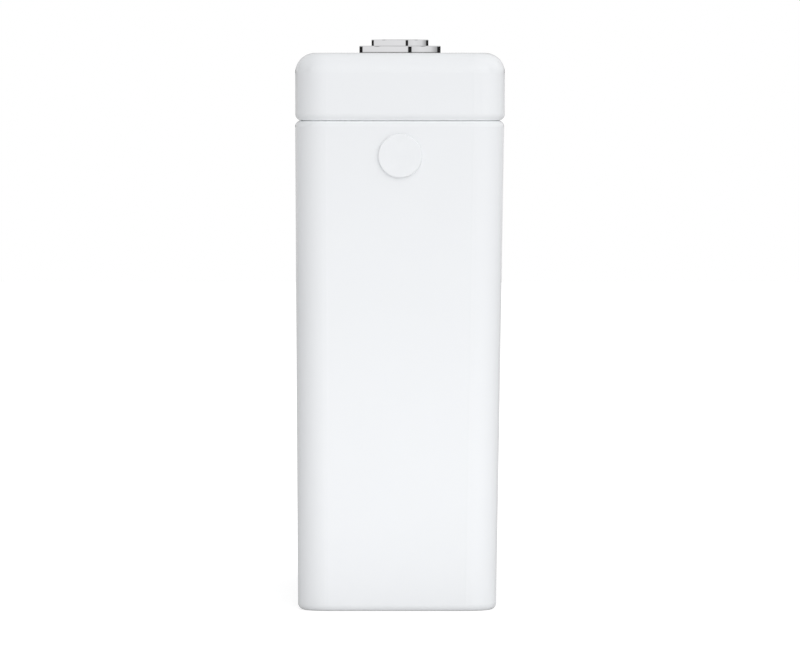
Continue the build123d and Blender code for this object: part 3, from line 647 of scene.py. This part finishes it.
grip_ribs("fill_valve_cap", FILL_CAP_RIBS, FILL_CAP_RIB_R, FILL_CAP_SKIRT)
grip_ribs("cage_cap", CAGE_CAP_RIBS, CAGE_CAP_RIB_R, CAGE_CAP_SKIRT)
float_ribs()


# Hoops that stiffen the cage above its windows

CAGE_R = 37.7 * MM
HOOP_STEPS = 96
HOOP_HALF_HEIGHT = 1.2 * MM
HOOP_DEPTH = 0.8 * MM
HOOP_DROPS = (70 * MM, 100 * MM)

# Shares of the half height and of the depth, from the lower edge to the upper
HOOP_PROFILE = ((-1.0, 0.0), (-0.7, 0.8), (0.0, 1.0), (0.7, 0.8), (1.0, 0.0))


def cage_hoop(name, z):
    """Rounded band round the cage."""
    centre = middle_xy("cage_cap")
    width = len(HOOP_PROFILE)
    verts, faces = [], []
    for i in range(HOOP_STEPS):
        angle = 2 * math.pi * i / HOOP_STEPS
        for up, out in HOOP_PROFILE:
            reach = CAGE_R - SINK + HOOP_DEPTH * out
            verts.append(round_axis(centre, reach, 0.0, angle, z + HOOP_HALF_HEIGHT * up))
    for i in range(HOOP_STEPS):
        here = i * width
        ahead = (i + 1) % HOOP_STEPS * width
        for j in range(width):
            beside = (j + 1) % width
            faces.append((here + j, ahead + j, ahead + beside, here + beside))
    return new_piece(name, "tank", "cage_plastic", verts, faces)


for number, drop in enumerate(HOOP_DROPS, 1):
    cage_hoop("cage_hoop_" + str(number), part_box("cage_cap")[0].z - drop)


# Floor

FLOOR_HALF = 7.0
FLOOR_DROP = 0.05 * MM
FLOOR_TONE = 0.5

# What the floor gives off to the camera and to glossy rays, and the pool of light beside the tank
FLOOR_GLOW = 0.68
GLOSSY_GLOW = 0.1
POOL_LEVEL = 1.35
POOL_PLACE = (-0.55, 0.0, 0.0)
POOL_R = 0.45


def floor_paint():
    """Pale matt paint that turns white to the camera and still takes the tank's shadow."""
    paint = bpy.data.materials.new("floor_white")
    paint.use_nodes = True
    nodes = Nodes(paint.node_tree)
    distance = nodes.new("ShaderNodeVectorMath")
    distance.operation = "DISTANCE"
    distance.inputs[1].default_value = POOL_PLACE
    nodes.join(nodes.coordinates("Object"), distance.inputs[0])
    pool = nodes.spread(distance.outputs["Value"], 0.0, POOL_R, POOL_LEVEL, 0.0)
    path = nodes.new("ShaderNodeLightPath").outputs
    level = nodes.mixed_level(path["Is Glossy Ray"], pool, GLOSSY_GLOW)
    level = nodes.mixed_level(path["Is Camera Ray"], level, FLOOR_GLOW)
    glow = nodes.new("ShaderNodeEmission")
    nodes.join(level, glow.inputs["Strength"])
    matt = nodes.new("ShaderNodeBsdfDiffuse")
    matt.inputs["Color"].default_value = (FLOOR_TONE, FLOOR_TONE, FLOOR_TONE, 1.0)
    both = nodes.new("ShaderNodeAddShader")
    nodes.join(matt.outputs["BSDF"], both.inputs[0])
    nodes.join(glow.outputs["Emission"], both.inputs[1])
    output = nodes.new("ShaderNodeOutputMaterial")
    nodes.join(both.outputs["Shader"], output.inputs["Surface"])
    return paint


def white_floor():
    """A wide floor just under the tank's foot."""
    mesh = bpy.data.meshes.new("floor")
    sides = ((-1, -1), (1, -1), (1, 1), (-1, 1))
    corners = [(FLOOR_HALF * x, FLOOR_HALF * y, 0.0) for x, y in sides]
    mesh.from_pydata(corners, [], [(0, 1, 2, 3)])
    mesh.materials.append(floor_paint())
    floor = bpy.data.objects.new("floor", mesh)
    floor.location.z = cad_box[0].z - FLOOR_DROP
    bpy.context.scene.collection.objects.link(floor)


# World

# What gloss sees round the tank: degrees of azimuth from the photographed side towards the front, and
# the level there. A narrow dark gap stands between the soft boxes, and a wide one at each side behind.
STUDIO_DEGREES_LEVELS = (
    (-180, 0.5),
    (-172, 0.02),
    (-136, 0.02),
    (-132, 0.86),
    (-90, 0.9),
    (0, 0.92),
    (22, 0.9),
    (23.5, 0.02),
    (32.8, 0.02),
    (34, 0.84),
    (60, 0.92),
    (98, 0.84),
    (110, 0.66),
    (122, 0.5),
    (130, 0.44),
    (135, 0.02),
    (172, 0.02),
    (180, 0.5),
)
# The light that falls on the tank: most from a broad soft box on the photographed side, less from
# behind, and least from the sides
LIGHT_DEGREES_LEVELS = (
    (-180, 1.2),
    (-155, 1.1),
    (-125, 0.5),
    (-100, 0.5),
    (-45, 0.52),
    (-15, 1.5),
    (62, 1.5),
    (90, 0.7),
    (125, 0.7),
    (155, 1.1),
    (180, 1.2),
)
# What gloss sees above the soft boxes: dimmer behind the tank, with a dark gap at each side
HIGH_DEGREES_LEVELS = (
    (-180, 0.5),
    (-150, 0.72),
    (-82, 0.9),
    (-78, 0.04),
    (-66, 0.04),
    (-62, 0.98),
    (0, 0.85),
    (62, 0.98),
    (66, 0.04),
    (78, 0.04),
    (82, 0.9),
    (150, 0.72),
    (180, 0.5),
)
# Rise of a direction, as a share of its length, at which each level starts and is full
HIGH_START = 0.03
HIGH_FULL = 0.06
ZENITH_START = 0.5
ZENITH_FULL = 0.85
ZENITH_LEVEL = 0.45

# The dark gaps start at eye height and the studio is even below it
HORIZON_START = -0.003
HORIZON_FULL = -0.0015
COVE_LEVEL = 0.74


class StudioWorld(Nodes):
    """The world's nodes, with one ramp round the horizon for each kind of ray."""

    def __init__(self):
        world = bpy.data.worlds.new("studio")
        bpy.context.scene.world = world
        world.use_nodes = True
        super().__init__(world.node_tree)
        direction = self.axes(self.coordinates("Generated"))
        self.rise = direction["Z"]
        turn = self.new("ShaderNodeMath")
        turn.operation = "ARCTAN2"
        self.join(self.product(direction["Y"], -1.0), turn.inputs[0])
        self.join(self.product(direction["X"], -1.0), turn.inputs[1])
        self.azimuth_share = self.spread(turn.outputs["Value"], -math.pi, math.pi)

    def round_ramp(self, degrees_levels):
        """A level for each azimuth, from pairs of degrees and level."""
        peak = max(level for degrees, level in degrees_levels)
        ramp = self.new("ShaderNodeValToRGB")
        stops = ramp.color_ramp.elements
        while len(stops) < len(degrees_levels):
            stops.new(0.5)
        for stop, (degrees, level) in zip(stops, degrees_levels):
            stop.position = (degrees + 180) / 360
            stop.color = (level / peak, level / peak, level / peak, 1.0)
        self.join(self.azimuth_share, ramp.inputs["Fac"])
        return self.product(ramp.outputs["Color"], peak)

    def shine(self, strength):
        background = self.new("ShaderNodeBackground")
        background.inputs["Color"].default_value = (1.0, 1.0, 1.0, 1.0)
        self.join(strength, background.inputs["Strength"])
        output = self.new("ShaderNodeOutputWorld")
        self.join(background.outputs["Background"], output.inputs["Surface"])


def studio_world():
    """White to the camera, soft boxes with dark gaps to gloss, and a broad soft light to the rest."""
    studio = StudioWorld()
    above = studio.spread(studio.rise, HORIZON_START, HORIZON_FULL)
    high = studio.spread(studio.rise, HIGH_START, HIGH_FULL)
    zenith = studio.spread(studio.rise, ZENITH_START, ZENITH_FULL)
    dome = studio.mixed_level(zenith, studio.round_ramp(HIGH_DEGREES_LEVELS), ZENITH_LEVEL)
    upper = studio.mixed_level(high, studio.round_ramp(STUDIO_DEGREES_LEVELS), dome)
    boxes = studio.mixed_level(above, COVE_LEVEL, upper)
    path = studio.new("ShaderNodeLightPath").outputs
    soft_light = studio.round_ramp(LIGHT_DEGREES_LEVELS)
    light = studio.mixed_level(path["Is Glossy Ray"], soft_light, boxes)
    studio.shine(studio.mixed_level(path["Is Camera Ray"], light, 1.0))


# Camera


def photo_camera():
    data = bpy.data.cameras.new("camera")
    data.lens = LENS_MM
    data.sensor_width = SENSOR_MM
    data.clip_end = CLIP_END
    camera = bpy.data.objects.new("camera", data)
    camera.location = EYE
    camera.rotation_mode = "QUATERNION"
    camera.rotation_quaternion = (AIM - EYE).to_track_quat("-Z", "Y")
    bpy.context.scene.collection.objects.link(camera)
    bpy.context.scene.camera = camera


white_floor()
studio_world()
photo_camera()
bpy.context.scene.view_settings.view_transform = "Standard"
